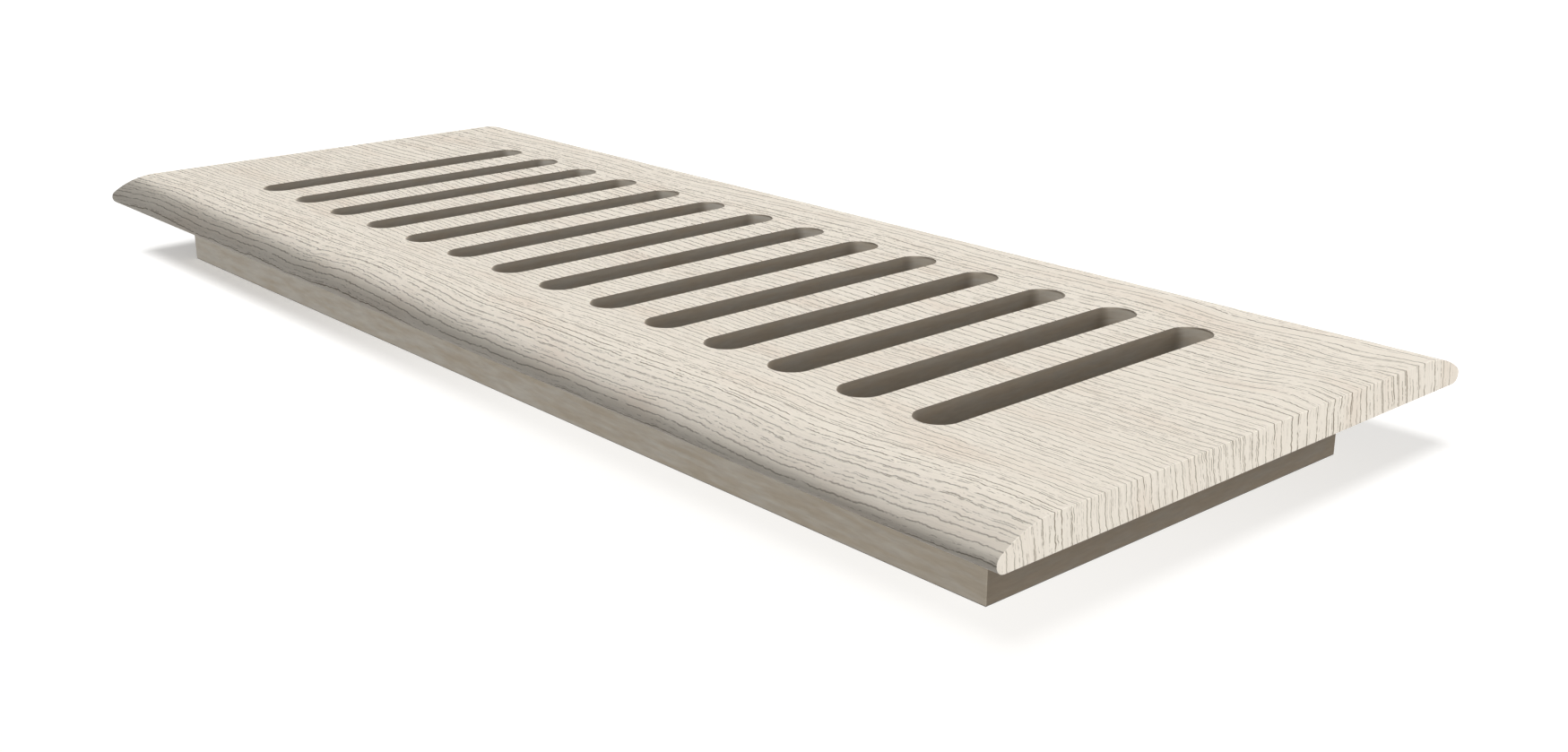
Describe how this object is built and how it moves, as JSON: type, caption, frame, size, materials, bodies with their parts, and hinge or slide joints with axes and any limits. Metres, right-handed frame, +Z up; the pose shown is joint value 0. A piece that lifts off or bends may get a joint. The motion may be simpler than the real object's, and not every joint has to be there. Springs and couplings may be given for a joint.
{
  "type": "floor register",
  "caption": "Drop-in floor register for a nominal 4 by 12 inch duct: a slotted board with a wood-grain face, a rounded overlapping lip and a block that drops into the opening.",
  "frame": {"origin": "under the middle of the drop-in block, in the plane of its underside", "axes": "+X along the register, +Y across it, along the slots, +Z up out of the floor"},
  "size_m": [0.33, 0.1348, 0.0224],
  "materials": {
    "board": "raw fibreboard, matte",
    "foil": "whitewashed oak print, matte, fine embossed grain"
  },
  "bodies": {
    "root": {"slotted_board": "board", "face_foil": "foil"}
  },
  "joints": []
}
